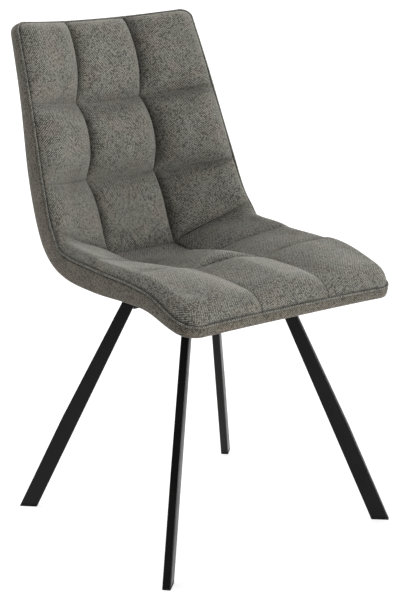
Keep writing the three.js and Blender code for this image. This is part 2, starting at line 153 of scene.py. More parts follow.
def outline_half(s, inset):
    """Half width of the outline at s, drawn in by the inset all round."""
    front_loss = corner_loss(s - inset, FRONT_CORNER_R - inset)
    top_loss = corner_loss(LENGTH - inset - s, TOP_CORNER_R - inset)
    return half_width(s) - inset - (front_loss + top_loss)


# ------------------------------------------------------------------ mesh helpers

FAR = 50.0  # a distance at which a seam has no effect
SHARP_ANGLE = math.radians(40)  # edges sharper than this are rounded over
FLAT_ANGLE = 0.02  # faces this close to one plane are joined before that
SAME_POINT = 1e-6  # metres between points that count as one


def link_object(name, data):
    obj = bpy.data.objects.new(name, data)
    bpy.context.scene.collection.objects.link(obj)
    return obj


def mesh_object(name, points, faces):
    """A smooth mesh from points in millimetres."""
    mesh = bpy.data.meshes.new(name)
    mesh.from_pydata([tuple(p) for p in points * MM], [], [tuple(f) for f in faces])
    mesh.validate()
    mesh.shade_smooth()
    return link_object(name, mesh)


def grid_faces(rows, columns, start=0, closed=False):
    """Quads of a grid of points kept row by row; closed joins the last column to the first."""
    i = np.arange(rows - 1)[:, None]
    j = np.arange(columns if closed else columns - 1)[None, :]
    k = (j + 1) % columns
    quads = np.stack([i * columns + j, i * columns + k, (i + 1) * columns + k, (i + 1) * columns + j], -1)
    return (quads.reshape(-1, 4) + start).tolist()


def grid_border(rows, columns):
    """Numbers of the points round a grid's edge, in order."""
    number = np.arange(rows * columns).reshape(rows, columns)
    return np.concatenate([number[0, :-1], number[:-1, -1], number[-1, :0:-1], number[:0:-1, 0]])


def lengths_along(points, axis=0):
    """Distances from the first point along a line of points, or along each line of a grid."""
    steps = np.linalg.norm(np.diff(points, axis=axis), axis=-1)
    first = np.zeros_like(np.take(steps, [0], axis=axis))
    return np.concatenate([first, steps.cumsum(axis)], axis=axis)


def add_cloth_data(obj, uv, seam_gap, crease_gap=None):
    """Each point's place on the flat cloth and its distances to sewn edges and to creases, in millimetres;
    the tweed paints seam shade from the distances.
    """
    if crease_gap is None:
        crease_gap = np.full(seam_gap.size, FAR)
    layer = obj.data.uv_layers.new(name="cloth")
    corners = np.zeros(len(obj.data.loops), int)
    obj.data.loops.foreach_get("vertex_index", corners)
    layer.data.foreach_set("uv", (uv.reshape(-1, 2) * MM).astype(np.float32)[corners].ravel())
    for name, gap in (("seam_gap", seam_gap), ("crease_gap", crease_gap)):
        mask = obj.data.attributes.new(name, "FLOAT", "POINT")
        mask.data.foreach_set("value", (gap.ravel() * MM).astype(np.float32))


def apply_modifiers(obj):
    graph = bpy.context.evaluated_depsgraph_get()
    shaped = obj.evaluated_get(graph)
    baked = bpy.data.meshes.new_from_object(shaped, preserve_all_data_layers=True, depsgraph=graph)
    obj.modifiers.clear()
    obj.data = baked


def finish_piece(obj, slot, material, *nodes):
    obj.data.materials.clear()
    obj.data.materials.append(material)
    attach(obj, "root")
    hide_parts(*nodes)
    return obj


def rounded_copy(part, material, radius):
    """A copy of a CAD piece with its sharp edges rounded over, which takes the piece's place."""
    name = part["node"]
    work = bmesh.new()
    work.from_mesh(frame["nodes"][name].data)
    bmesh.ops.remove_doubles(work, verts=work.verts, dist=SAME_POINT)
    bmesh.ops.dissolve_limit(work, angle_limit=FLAT_ANGLE, verts=work.verts, edges=work.edges)
    sharp = [edge for edge in work.edges if edge.calc_face_angle() > SHARP_ANGLE]
    bmesh.ops.bevel(work, geom=sharp, offset=radius * MM, segments=3, profile=0.5, affect="EDGES",
                    clamp_overlap=True)
    mesh = bpy.data.meshes.new(name + "_rounded")
    work.to_mesh(mesh)
    work.free()
    mesh.shade_smooth()
    mesh.set_sharp_from_angle(angle=SHARP_ANGLE)
    finish_piece(link_object(name + "_rounded", mesh), part["material_slot"], material, name)


# ------------------------------------------------------------------ quilted pad

# The pad has three columns and six rows of cells. Two long seams part the columns, and cross seams part
# the rows. A cross seam leaves a long seam at NODE_S and reaches the rim at RIM_S. Lists of seven run over
# the front edge, the five cross seams and the top edge, and lists of six over the rows between them.
NODE_S = np.array([0, 188, 332, 455, 620, 765, LENGTH])
RIM_S = np.array([0, 165, 274, 474, 597, 753, LENGTH])
NODE_X = np.array([74, 78, 76, 76, 78, 73, 66])  # the long seams' distance from the middle
NODE_H = np.array([17, 47, 19, 15, 17, 18, 23])  # their height above the shell's outer face
SEAM_RISE = np.array([3, 3, 2, 15, 22, 17])  # how far they rise between two crossings
MIDDLE_CROWN = np.array([17, 22, 1, 24, 30, 26])  # how far a row's cells swell above their seams
SIDE_CROWN = np.array([26, 20, 25, 30, 36, 31])
MIDDLE_CREASE = np.array([0, 0, -2, 0, -1, 0, 0])  # how much of the swelling a cross seam keeps
SIDE_CREASE = np.array([0, 10, 15, 7, 1, 1, 0])

# A roll is the distance over which a cell rises from a seam or edge. A shape of 0.5 makes that rise
# a quarter round, and 1 makes it a flatter parabola.
LONG_ROLL = np.array([90, 90, 80, 60, 50, 50, 50])
LONG_SHAPE = np.array([1.0, 1.0, 0.9, 0.65, 0.52, 0.52, 0.52])
CROSS_ROLL = np.array([52, 38, 40, 50, 56, 56, 26])
CROSS_SHAPE = np.array([0.5, 0.6, 0.6, 0.6, 0.65, 0.65, 0.5])
RIM_ROLL = np.array([20, 20, 24, 36, 50, 50, 44])
RIM_SHAPE = np.array([0.5, 0.5, 0.5, 0.6, 0.8, 0.8, 0.8])
FRONT_SHAPE = 0.5

ROWS = [26, 20, 18, 22, 20, 22]  # quads along each row of cells
COLUMNS = [20, 20, 20]  # quads across each column
MIDDLE_COLUMN = 1
FIRST_BACK_SEAM = 4  # the cross seams from here on lie on the back
SEAT_FADE = (0.85, 1.5)  # how a seat's cross seam fades towards the rim, as a share and a power
BACK_FADE = (0.6, 3)
SEAM_BEND = 1.3  # above 1, a cross seam leaves the long seam square to it
MIDDLE_SHARE = 0.5  # the middle column takes at most this share of the width
RIM_INSET = 1.7  # the pad's edge lies inside the band by this much
PAD_FROM = 14.1  # height of the pad's underside above the shell's outer face
SEWN_WITHIN = 0.6  # points this close to a seam are held by it
UV_BLUR = 7  # rows to each side over which the cloth's lengths are averaged


def arched(distance, radius, shape):
    """Rise from 0 at an edge to 1 at the radius: a quarter round at shape 0.5, flatter above that."""
    w = np.clip(distance / radius, 0, 1)
    return (1 - (1 - w) ** 2) ** shape


def cell_steps(counts):
    """Steps through a line of cells, closer together at the cells' ends; each cell is one long."""
    steps = []
    for number, count in enumerate(counts):
        w = np.linspace(0, 1, count + 1)[:-1]
        steps.append(0.5 * w + 0.5 * (1 - np.cos(w * math.pi)) / 2 + number)
    return np.concatenate(steps + [[len(counts)]])


def kept_crease(k, side, outward):
    """How far the cells on both sides of cross seam k still swell where the seam pulls them in."""
    plain = np.where(side, SIDE_CREASE[k], MIDDLE_CREASE[k])
    inner = (k > 0) & (k < len(ROWS))
    beside = 0.5 * (SIDE_CROWN[np.maximum(k - 1, 0)] + SIDE_CROWN[np.minimum(k, len(ROWS) - 1)])
    on_seat, on_back = (share * outward**power for share, power in (SEAT_FADE, BACK_FADE))
    fade = np.where(k < FIRST_BACK_SEAM, on_seat, on_back)
    return np.where(side & inner, plain + (beside - plain) * fade, plain)


def pad_positions(row, b, column, outward, a):
    """s and x of the pad's points, and their distances to the long seam and to the rim."""
    side = column != MIDDLE_COLUMN
    node_s = NODE_S[row] + (NODE_S[row + 1] - NODE_S[row]) * b
    rim_s = RIM_S[row] + (RIM_S[row + 1] - RIM_S[row]) * b
    seam = np.interp(node_s, NODE_S, NODE_X)
    node_s = np.clip(node_s, RIM_INSET, LENGTH - RIM_INSET)
    rim_s = np.clip(rim_s, RIM_INSET, LENGTH - RIM_INSET)
    s = np.where(side, node_s + (rim_s - node_s) * outward**SEAM_BEND, node_s)
    rim = outline_half(s, RIM_INSET)
    seam = np.minimum(seam, rim * MIDDLE_SHARE)
    x = np.where(side, seam + (rim - seam) * outward, (2 * a - 1) * seam)
    x = np.where(column == 0, -x, x)
    to_seam = np.where(side, np.abs(x) - seam, seam - np.abs(x))
    to_rim = np.where(side, rim - np.abs(x), np.inf)
    return s, x, to_seam, to_rim


def pad_heights(row, b, side, outward, s, to_seam, to_rim):
    """Heights of the pad's points above the shell's outer face."""
    length = NODE_S[row + 1] - NODE_S[row]
    from_front = b * length
    from_rear = (1 - b) * length

    # The long seams rise and fall from node to node, and the rim lies on top of the band
    along = np.where(row == 0, arched(from_front, CROSS_ROLL[0], FRONT_SHAPE), b)
    seam_h = NODE_H[row] + (NODE_H[row + 1] - NODE_H[row]) * along + SEAM_RISE[row] * 4 * b * (1 - b)
    base = np.where(side, seam_h + (band_depth(s) + WELT_R - seam_h) * outward, seam_h)

    # Each cell swells between its cross seams, and less near its long seam and the rim
    crown = np.where(side, SIDE_CROWN[row], MIDDLE_CROWN[row])
    front_roll = arched(from_front, CROSS_ROLL[row], CROSS_SHAPE[row])
    rear_roll = arched(from_rear, CROSS_ROLL[row + 1], CROSS_SHAPE[row + 1])
    swelling = (crown * (front_roll + rear_roll - 1)
                + kept_crease(row, side, outward) * (1 - front_roll)
                + kept_crease(row + 1, side, outward) * (1 - rear_roll))
    by_seam = arched(to_seam, np.interp(s, NODE_S, LONG_ROLL), np.interp(s, NODE_S, LONG_SHAPE))
    by_rim = arched(to_rim, np.interp(s, NODE_S, RIM_ROLL), np.interp(s, NODE_S, RIM_SHAPE))
    return base + swelling * by_seam * by_rim


def pad_grid():
    """The pad's top as grids: s, x, height, distance to sewn edges, and distance to cross seams."""
    beta, alpha = np.meshgrid(cell_steps(ROWS), cell_steps(COLUMNS), indexing="ij")
    row = np.minimum(beta.astype(int), len(ROWS) - 1)
    column = np.minimum(alpha.astype(int), len(COLUMNS) - 1)
    b = beta - row
    a = alpha - column
    outward = np.where(column == 0, 1 - a, a)  # in the side columns, 0 at the long seam and 1 at the rim
    s, x, to_seam, to_rim = pad_positions(row, b, column, outward, a)
    height = pad_heights(row, b, column != MIDDLE_COLUMN, outward, s, to_seam, to_rim)

    length = NODE_S[row + 1] - NODE_S[row]
    from_front = b * length
    from_rear = (1 - b) * length
    first = row == 0
    final = row == len(ROWS) - 1
    to_cross = np.minimum(np.where(first, np.inf, from_front), np.where(final, np.inf, from_rear))
    to_end = np.minimum(np.where(first, from_front, np.inf), np.where(final, from_rear, np.inf))
    to_sewn = np.minimum(np.minimum(to_seam, to_rim), to_end)
    return s, x, height, to_sewn, to_cross


def panel_uv(surface, s):
    """Cloth coordinates: lengths over the surface, across from the middle and along from the front.

    Lengths across are averaged over neighbouring rows, so that the weave isn't sheared at the cross seams.
    """
    along = np.linalg.norm(np.diff(surface, axis=0), axis=2).mean(1).cumsum()
    along = np.concatenate([[0], along])[:, None] + s - s.mean(1, keepdims=True)
    across = lengths_along(surface, axis=1)
    across -= across[:, -1:] / 2
    padded = np.pad(across, ((UV_BLUR, UV_BLUR), (0, 0)), mode="edge")
    window = 2 * UV_BLUR + 1
    across = sum(padded[k:k + len(across)] for k in range(window)) / window
    return np.stack([across, along], -1)


def build_pad():
    s, x, height, to_sewn, to_cross = pad_grid()
    rows, columns = s.shape
    count = rows * columns
    top = raised(s, x, height)
    bottom = raised(s, x, PAD_FROM)
    upper = [quad[::-1] for quad in grid_faces(rows, columns)]
    under = grid_faces(rows, columns, start=count)
    border = grid_border(rows, columns)
    ahead = np.roll(border, -1)
    wall = np.stack([border, ahead, ahead + count, border + count], 1).tolist()
    pad = mesh_object("quilted_pad", np.stack([top, bottom]).reshape(-1, 3), upper + under + wall)

    uv = panel_uv(top, s)
    away = np.full(count, FAR)
    # Distances to seams and creases: they hold the cloth in the swelling and set the painted seam shade
    seam_gap = np.concatenate([to_sewn.ravel(), away])
    crease_gap = np.concatenate([to_cross.ravel(), away])
    add_cloth_data(pad, np.stack([uv, uv]), seam_gap, crease_gap)

    held = (seam_gap < SEWN_WITHIN) | (crease_gap < SEWN_WITHIN)
    held[count:] = True
    inflate(pad, held)
    crease_long_seams(pad, rows, columns)
    smooth = pad.modifiers.new("smooth", "SUBSURF")
    smooth.levels = 1
    smooth.render_levels = 1
    apply_modifiers(pad)
    pad.data.shade_smooth()
    return pad


# Firm cloth with hardly any slack, under a light pressure
SWELL_CLOTH = {
    "quality": 6,
    "mass": 0.15,
    "tension_stiffness": 15,
    "compression_stiffness": 15,
    "shear_stiffness": 8,
    "bending_stiffness": 12,
    "shrink_min": -0.002,
    "use_pressure": True,
    "uniform_pressure_force": 4,
}
SWELL_FRAMES = 20
SWELL_CAP = 4.0  # a point's simulated movement is first cut down to this
SWELL_SHARE = 0.45  # and then this share of it is kept, as the pad is modelled at its full size


def inflate(pad, held):
    """Blow the cells up with the Cloth modifier, held at the seams, the rim and the underside."""
    group = pad.vertex_groups.new(name="sewn")
    group.add(np.flatnonzero(held).tolist(), 1.0, "REPLACE")
    modelled = positions_of(pad.data)
    cloth = pad.modifiers.new("cloth", "CLOTH")
    for setting, value in SWELL_CLOTH.items():
        setattr(cloth.settings, setting, value)
    cloth.settings.vertex_group_mass = group.name
    cloth.settings.effector_weights.gravity = 0
    cloth.collision_settings.use_collision = False
    cloth.point_cache.frame_end = SWELL_FRAMES
    for number in range(1, SWELL_FRAMES + 1):
        bpy.context.scene.frame_set(number)
    graph = bpy.context.evaluated_depsgraph_get()
    moved = positions_of(pad.evaluated_get(graph).data) - modelled
    reach = np.linalg.norm(moved, axis=1, keepdims=True)
    pad.modifiers.clear()
    bpy.context.scene.frame_set(1)
    kept = SWELL_SHARE * moved * np.minimum(1, SWELL_CAP * MM / np.maximum(reach, 1e-9))
    pad.data.vertices.foreach_set("co", (modelled + kept).astype(np.float32).ravel())
    pad.vertex_groups.clear()
    pad.data.update()


def positions_of(mesh):
    flat = np.zeros(len(mesh.vertices) * 3, np.float32)
    mesh.vertices.foreach_get("co", flat)
    return flat.reshape(-1, 3).astype(float)


def crease_long_seams(pad, rows, columns):
    """Keep the two long seams sharp when the pad is subdivided."""
    seams = [COLUMNS[0], COLUMNS[0] + COLUMNS[1]]
    ends = np.zeros(len(pad.data.edges) * 2, int)
    pad.data.edges.foreach_get("vertices", ends)
    ends = ends.reshape(-1, 2)
    on_top = (ends < rows * columns).all(1)
    column = ends % columns
    is_seam = on_top & (column[:, 0] == column[:, 1]) & np.isin(column[:, 0], seams)
    crease = pad.data.attributes.new("crease_edge", "FLOAT", "EDGE")
    crease.data.foreach_set("value", is_seam.astype(np.float32))


# ------------------------------------------------------------------ band, welt and covers

RING_STEP = 6.0  # distance between points round the outline
UP_STEP = 5.0  # distance over which a band's upward direction is measured

# The band's cross section as distances outward and up: a hem turned in under the shell, and a tuck
# under the welt. The cloth between them bulges a little.
BAND_HEM = [(-9.0, 1.2), (-6.0, 0.5), (-3.4, 0.1), (-1.6, 0.4), (-0.5, 1.4), (0.0, 3.0)]
BAND_SHARES = (0.25, 0.4, 0.55, 0.7, 0.85)  # where lines run between the hem's end and the top edge
BAND_BULGE = 1.1
BAND_TOP_OUT = 0.1
BAND_TUCK = (-1.6, 0.6)
BAND_MIDDLE = len(BAND_HEM) + 2  # the line that gives the band's length
TOP_SHADOW_GAP = 6.0  # the welt's shadow has ended on the third line from the top

WELT_IN = 0.6  # the welt's centre lies this far inside the band
WELT_UP = 2.0  # and this far above the band's top edge
WELT_SIDES = 10

COVER_STEP = 8  # distance between rows of a cover's points
COVER_COLUMNS = 56
COVER_INSET = 1.5  # a cover stops this far inside the outline
COVER_DEPTH = 1.2  # how deep a cover's edges lie in the shell
COVER_ROLL = 40  # distance from its ends over which a cover rises to its full height
COVER_SIDE_ROLL = 1 / 5  # and from its sides, as a share of its half width


def outline_ring():
    """s and x of points round the shell's outline, evenly spread."""
    quarter = np.linspace(0, math.pi / 2, 9)
    front_s = FRONT_CORNER_R * (1 - np.cos(quarter))
    front_loss = FRONT_CORNER_R * (1 - np.sin(quarter))
    top_s = LENGTH - TOP_CORNER_R * (1 - np.cos(quarter))
    top_loss = TOP_CORNER_R * (1 - np.sin(quarter))
    side_s = np.linspace(front_s[-1], top_s[-1], int(LENGTH / RING_STEP))[1:-1]
    right_s = np.concatenate([front_s, side_s, top_s[::-1]])
    loss = np.concatenate([front_loss, np.zeros(len(side_s)), top_loss[::-1]])
    right_x = half_width(right_s) - loss

    def straight(start, end):
        return np.linspace(start, end, int(2 * abs(start) / RING_STEP))[1:-1]

    front_x = straight(-right_x[0], right_x[0])
    top_x = straight(right_x[-1], -right_x[-1])
    ring_s = np.concatenate([right_s, np.full(len(top_x), right_s[-1]), right_s[::-1],
                             np.full(len(front_x), right_s[0])])
    ring_x = np.concatenate([right_x, top_x, -right_x[::-1], front_x])
    return ring_s, ring_x


def ring_frame(depth_share):
    """Points round the outline at a share of the band's depth, with unit vectors outward and up."""
    s, x = outline_ring()
    depth = band_depth(s)
    base = raised(s, x, depth * depth_share)
    up = raised(s, x, depth * depth_share + UP_STEP) - base
    up /= np.linalg.norm(up, axis=1, keepdims=True)
    tangent = np.roll(base, -1, 0) - np.roll(base, 1, 0)
    out = np.cross(tangent, up)
    out /= np.linalg.norm(out, axis=1, keepdims=True)
    return base, out, up


def build_band():
    """Strip of cloth round the shell, with its length and its mean height laid flat."""
    _, out, up = ring_frame(0.5)
    s, x = outline_ring()
    depth = band_depth(s)[:, None]
    foot = raised(s, x, 0.0)
    lines = [foot + out * outward + up * upward for outward, upward in BAND_HEM]
    hem_top = BAND_HEM[-1][1]
    for share in BAND_SHARES:
        bulge = BAND_BULGE * math.sin(math.pi * share)
        lines.append(foot + out * bulge + up * (hem_top + (depth - hem_top) * share))
    lines.append(foot + out * BAND_TOP_OUT + up * depth)
    lines.append(foot + out * BAND_TUCK[0] + up * (depth + BAND_TUCK[1]))
    grid = np.stack(lines, 1)
    closed = np.concatenate([grid, grid[:1]])
    band = mesh_object("band_cloth", closed.reshape(-1, 3), grid_faces(*closed.shape[:2]))

    round_it = lengths_along(closed[:, BAND_MIDDLE])
    up_it = lengths_along(closed, axis=1)
    # The top two lines, under the welt, take the darkest painted shade of the seam
    gap = np.full(closed.shape[:2], FAR)
    gap[:, -2:] = 0.0
    gap[:, -3] = TOP_SHADOW_GAP
    add_cloth_data(band, np.stack(np.broadcast_arrays(round_it[:, None], up_it), -1), gap)
    return band, round_it[-1], float(up_it[:, -1].mean())


def build_welt():
    """Tube of cloth along the top edge of the band."""
    base, out, up = ring_frame(1.0)
    centre = base - out * WELT_IN + up * WELT_UP
    angle = np.linspace(0, 2 * math.pi, WELT_SIDES, endpoint=False)
    spokes = np.cos(angle)[None, :, None] * out[:, None] + np.sin(angle)[None, :, None] * up[:, None]
    tube = centre[:, None] + WELT_R * spokes
    closed = np.concatenate([tube, tube[:1]])
    faces = grid_faces(len(closed), WELT_SIDES, closed=True)
    welt = mesh_object("welt_piping", closed.reshape(-1, 3), faces)
    along = lengths_along(np.concatenate([centre, centre[:1]]))
    uv = np.stack(np.broadcast_arrays(along[:, None], (angle * WELT_R)[None, :]), -1)
    add_cloth_data(welt, uv, np.full(closed.shape[:2], FAR))
    return welt


def build_cover(name, s_from, s_to, puff):
    """Cloth over the outer face between two distances; its middle stands out from its edges by puff."""
    rows = int((s_to - s_from) / COVER_STEP)
    s = np.linspace(s_from, s_to, rows)[:, None] * np.ones(COVER_COLUMNS)
    across = np.sin(np.linspace(-1, 1, COVER_COLUMNS) * math.pi / 2)[None, :] * np.ones((rows, 1))
    half = outline_half(s, COVER_INSET)
    x = across * half
    to_end = np.minimum(s - s_from, s_to - s)
    roll = np.minimum(to_end / COVER_ROLL, (1 - np.abs(across)) / COVER_SIDE_ROLL)
    depth = COVER_DEPTH - puff * np.sin(np.clip(roll, 0, 1) * math.pi / 2)
    cover = mesh_object(name, raised(s, x, depth).reshape(-1, 3), grid_faces(rows, COVER_COLUMNS))
    # Distances to the cover's sewn edges, which set the painted shade along them
    gap = np.minimum(half - np.abs(x), to_end)
    add_cloth_data(cover, np.stack([x, s], -1), gap)
    return cover


# ------------------------------------------------------------------ materials

class Nodes:
    """Short calls for building a material's node tree."""

    def __init__(self, name):
        self.material = bpy.data.materials.new(name)
        self.material.use_nodes = True
        self.tree = self.material.node_tree
        self.shader = self.tree.nodes["Principled BSDF"]

    def set(self, socket, value):
        if isinstance(value, bpy.types.NodeSocket):
            self.tree.links.new(value, socket)
        else:
            socket.default_value = value

    def shade(self, **values):
        """Fill the shader's own sockets; underscores stand for the spaces in their names."""
        for name, value in values.items():
            self.set(self.shader.inputs[name.replace("_", " ")], value)

    def add(self, kind, **inputs):
        """A node with its sockets, or its own settings, filled in."""
        node = self.tree.nodes.new(kind)
        for key, value in inputs.items():
            if key in node.inputs:
                self.set(node.inputs[key], value)
            else:
                setattr(node, key, value)
        return node

    def place(self):
        return self.add("ShaderNodeTexCoord").outputs["Object"]

    def cloth_uv(self):
        return self.add("ShaderNodeUVMap", uv_map="cloth").outputs[0]

    def mask(self, name):
        return self.add("ShaderNodeAttribute", attribute_name=name).outputs["Fac"]

    def math(self, operation, first, *others):
        """One node for a function of one value, or a chain of them for several values."""
        for other in others or (0.0,):
            node = self.add("ShaderNodeMath", operation=operation)
            self.set(node.inputs[0], first)
            self.set(node.inputs[1], other)
            first = node.outputs[0]
        return first

    def vector(self, operation, a, b=(0, 0, 0)):
        node = self.add("ShaderNodeVectorMath", operation=operation)
        self.set(node.inputs[0], a)
        self.set(node.inputs[1], b)
        return node.outputs[0]

    def length(self, vector):
        return self.add("ShaderNodeVectorMath", operation="LENGTH", Vector=vector).outputs["Value"]

    def scaled(self, vector, scale):
        return self.add("ShaderNodeVectorMath", operation="SCALE", Vector=vector, Scale=scale).outputs[0]

    def parted(self, vector):
        return self.add("ShaderNodeSeparateXYZ", Vector=vector).outputs[:2]

    def mix(self, factor, a, b):
        node = self.add("ShaderNodeMix", data_type="RGBA")
        for number, value in ((0, factor), (6, a), (7, b)):
            self.set(node.inputs[number], value)
        return node.outputs[2]

    def ramp(self, value, stops):
        node = self.add("ShaderNodeValToRGB", Fac=value)
        elements = node.color_ramp.elements
        while len(elements) < len(stops):
            elements.new(0.5)
        for element, (position, colour) in zip(elements, stops):
            element.position = position
            element.color = (*colour, 1)
        return node.outputs[0]

    def noise(self, vector, scale, detail=2.0, roughness=0.5):
        node = self.add("ShaderNodeTexNoise", Vector=vector, Scale=scale, Detail=detail, Roughness=roughness)
        return node.outputs["Fac"]

    def spread(self, value, low, high, to_low, to_high):
        """Stretch the range from low to high onto another range, and keep to that range beyond it."""
        node = self.tree.nodes.new("ShaderNodeMapRange")
        for socket, number in zip(node.inputs, (value, low, high, to_low, to_high)):
            self.set(socket, number)
        return node.outputs[0]

    def bump(self, height, distance, strength):
        return self.add("ShaderNodeBump", Height=height, Distance=distance, Strength=strength).outputs[0]


THREAD = 0.002  # width of a yarn, in metres like the lengths below
WANDER = 0.0008  # how far yarns wander from straight
SHADOW = 0.0022  # how far the painted shade line beside a sewn seam reaches
CREASE_LINE_SHADE = 0.0018  # and the one in a cross seam
CREASE_SHADOW = 0.016  # and the soft shade round a cross seam


def yarn_relief(n, across, along):
    """Height of a yarn, round across and a little lower towards both ends of its visible stretch."""
    dip = n.math("ADD", n.math("MULTIPLY", along, 0.4), 0.6)
    return n.math("MULTIPLY", n.math("POWER", across, 0.6), dip)


def plain_weave(n, uv):
    """Yarns that pass over and under each other in turn: the cell's numbers, warp on top, and relief."""
    free = n.add("ShaderNodeTexNoise", Vector=uv, Scale=220.0).outputs["Color"]
    wander = n.scaled(n.vector("SUBTRACT", free, (0.5, 0.5, 0.5)), WANDER)
    u, v = n.parted(n.scaled(n.vector("ADD", uv, wander), 1.0 / THREAD))
    column = n.math("FLOOR", u)
    line = n.math("FLOOR", v)
    lift = 4000.0  # an even number that keeps the sum of the cell's numbers above zero
    warp_up = n.math("LESS_THAN", n.math("MODULO", n.math("ADD", column, line, lift), 2.0), 0.5)
    round_u, round_v = (n.math("SINE", n.math("MULTIPLY", n.math("FRACT", w), math.pi)) for w in (u, v))
    warp = n.math("MULTIPLY", yarn_relief(n, round_u, round_v), warp_up)
    weft = n.math("MULTIPLY", yarn_relief(n, round_v, round_u), n.math("SUBTRACT", 1.0, warp_up))
    return column, line, warp_up, n.math("ADD", warp, weft)


def cloth_tone(n, uv):
    """Broad unevenness of the cloth, and slubs along both directions of the weave."""
    broad = n.spread(n.noise(uv, 26.0, 3.0, 0.6), 0.3, 0.7, 0.89, 1.10)
    slub_u = n.spread(n.noise(n.vector("MULTIPLY", uv, (240.0, 900.0, 1.0)), 1.0), 0.3, 0.7, 0.9, 1.1)
    slub_v = n.spread(n.noise(n.vector("MULTIPLY", uv, (900.0, 240.0, 1.0)), 1.0), 0.3, 0.7, 0.92, 1.08)
    return n.math("MULTIPLY", broad, slub_u, slub_v)


def seam_painted_shade(n):
    """Painted shade along the seams: dark lines in the seam grooves, partly the stitching's own darkness, and
    a soft shade round each cross seam.
    """
    crease_gap = n.mask("crease_gap")
    # painted shade in the groove of a sewn seam, darkest right at the seam
    seam = n.spread(n.mask("seam_gap"), 0.0003, SHADOW, 0.4, 1.0)
    # a thin painted shade line in each cross seam, and a wider painted shade round it
    crease_line_shade = n.spread(crease_gap, 0.0, CREASE_LINE_SHADE, 0.78, 1.0)
    crease_shade = n.spread(crease_gap, 0.0, CREASE_SHADOW, 0.86, 1.0)
    return n.math("MULTIPLY", seam, n.math("MULTIPLY", crease_line_shade, crease_shade))


def tweed(name, dark, middle, light):
    """Woven tweed: thick fuzzy yarns in a plain weave, each stretch its own shade, with painted shade between
    the yarns and along the seams.
    """
    n = Nodes(name)
    uv = n.cloth_uv()
    column, line, warp_up, relief = plain_weave(n, uv)

    # Warp is lighter than weft, and each visible stretch of yarn has a shade of its own
    cell = n.add("ShaderNodeCombineXYZ", X=column, Y=line, Z=warp_up).outputs[0]
    own_shade = n.add("ShaderNodeTexWhiteNoise", Vector=cell).outputs["Value"]
    melange = n.noise(uv, 520.0, 3.0, 0.7)
    shade = n.math("ADD", n.math("MULTIPLY", own_shade, 0.51), n.math("MULTIPLY", melange, 0.08),
                   n.math("MULTIPLY", warp_up, 0.41))
    yarn = n.ramp(shade, [(0.3, dark), (0.5, middle), (0.7, light)])
    tint = n.ramp(n.noise(uv, 22.0, 1.0, 0.5), [(0.35, (0.97, 1.0, 1.0)), (0.65, (1.03, 0.995, 0.965))])
    # Painted shade in the hollows between yarns, and along the seams, on top of the cloth's own unevenness
    hollow_shade = n.spread(relief, 0.0, 0.8, 0.45, 1.0)
    tone_and_painted_shade = n.math("MULTIPLY", cloth_tone(n, uv), hollow_shade, seam_painted_shade(n))

    fuzz = n.noise(uv, 3000.0, 2.0, 0.7)
    lumps = n.noise(uv, 160.0)
    height = n.math("ADD", relief, n.math("MULTIPLY", fuzz, 0.35), n.math("MULTIPLY", lumps, 0.6))
    n.shade(
        Base_Color=n.scaled(n.vector("MULTIPLY", yarn, tint), tone_and_painted_shade),
        Normal=n.bump(height, 0.0005, 0.5),
        Roughness=n.spread(fuzz, 0.3, 0.7, 0.85, 1.0),
        Specular_IOR_Level=0.2,
        Sheen_Weight=0.4,
        Sheen_Roughness=0.4,
        Sheen_Tint=(0.8, 0.78, 0.72, 1),
    )
    return n.material


def powder_coat():
    """Satin black powder coat: fine orange peel, and a slow change in gloss and colour."""
    n = Nodes("powder_coat")
    peel = n.noise(n.place(), 900.0, 2.0, 0.6)
    smudge = n.noise(n.place(), 18.0, 3.0, 0.6)
    n.shade(
        Base_Color=n.ramp(smudge, [(0.3, (0.0025, 0.0025, 0.0025)), (0.75, (0.005, 0.0049, 0.0046))]),
        Roughness=n.spread(smudge, 0.3, 0.7, 0.3, 0.42),
        Normal=n.bump(peel, 0.00012, 0.5),
        Specular_IOR_Level=0.15,
    )
    return n.material


def moulded_plastic():
    """Matt black plastic with a fine grain and pale scuffs."""
    n = Nodes("moulded_plastic")
    grain = n.noise(n.place(), 1500.0, 3.0, 0.7)
    scuff = n.noise(n.place(), 120.0, 4.0, 0.7)
    n.shade(
        Base_Color=n.ramp(scuff, [(0.35, (0.003, 0.003, 0.003)), (0.8, (0.008, 0.008, 0.0075))]),
        Roughness=n.spread(grain, 0.3, 0.7, 0.45, 0.65),
        Normal=n.bump(grain, 0.0001, 0.6),
        Specular_IOR_Level=0.15,
    )
    return n.material


def bright_zinc():
    """Zinc plate with a mottled shine."""
    n = Nodes("bright_zinc")
    spangle = n.noise(n.place(), 400.0, 3.0, 0.6)
    n.shade(
        Base_Color=n.ramp(spangle, [(0.3, (0.5, 0.51, 0.53)), (0.7, (0.68, 0.68, 0.67))]),
        Roughness=n.spread(spangle, 0.3, 0.7, 0.24, 0.42),
        Normal=n.bump(spangle, 0.0001, 0.5),
        Metallic=1.0,
    )
    return n.material


def birch_ply():
    """Plywood with its grain running from front to back and up, in broad and fine streaks."""
    n = Nodes("birch_ply")
    place = n.place()
    grain = n.noise(n.vector("MULTIPLY", place, (240.0, 9.0, 9.0)), 1.0, 5.0, 0.65)
    rings = n.noise(n.vector("MULTIPLY", place, (30.0, 3.0, 3.0)), 1.0, 3.0)
    wood = n.ramp(grain, [(0.3, (0.42, 0.26, 0.12)), (0.7, (0.62, 0.43, 0.23))])
    n.shade(
        Base_Color=n.mix(n.spread(rings, 0.4, 0.6, 0.0, 0.4), wood, (0.5, 0.32, 0.15, 1)),
        Roughness=n.spread(grain, 0.3, 0.7, 0.5, 0.7),
        Normal=n.bump(grain, 0.0002, 0.5),
    )
    return n.material


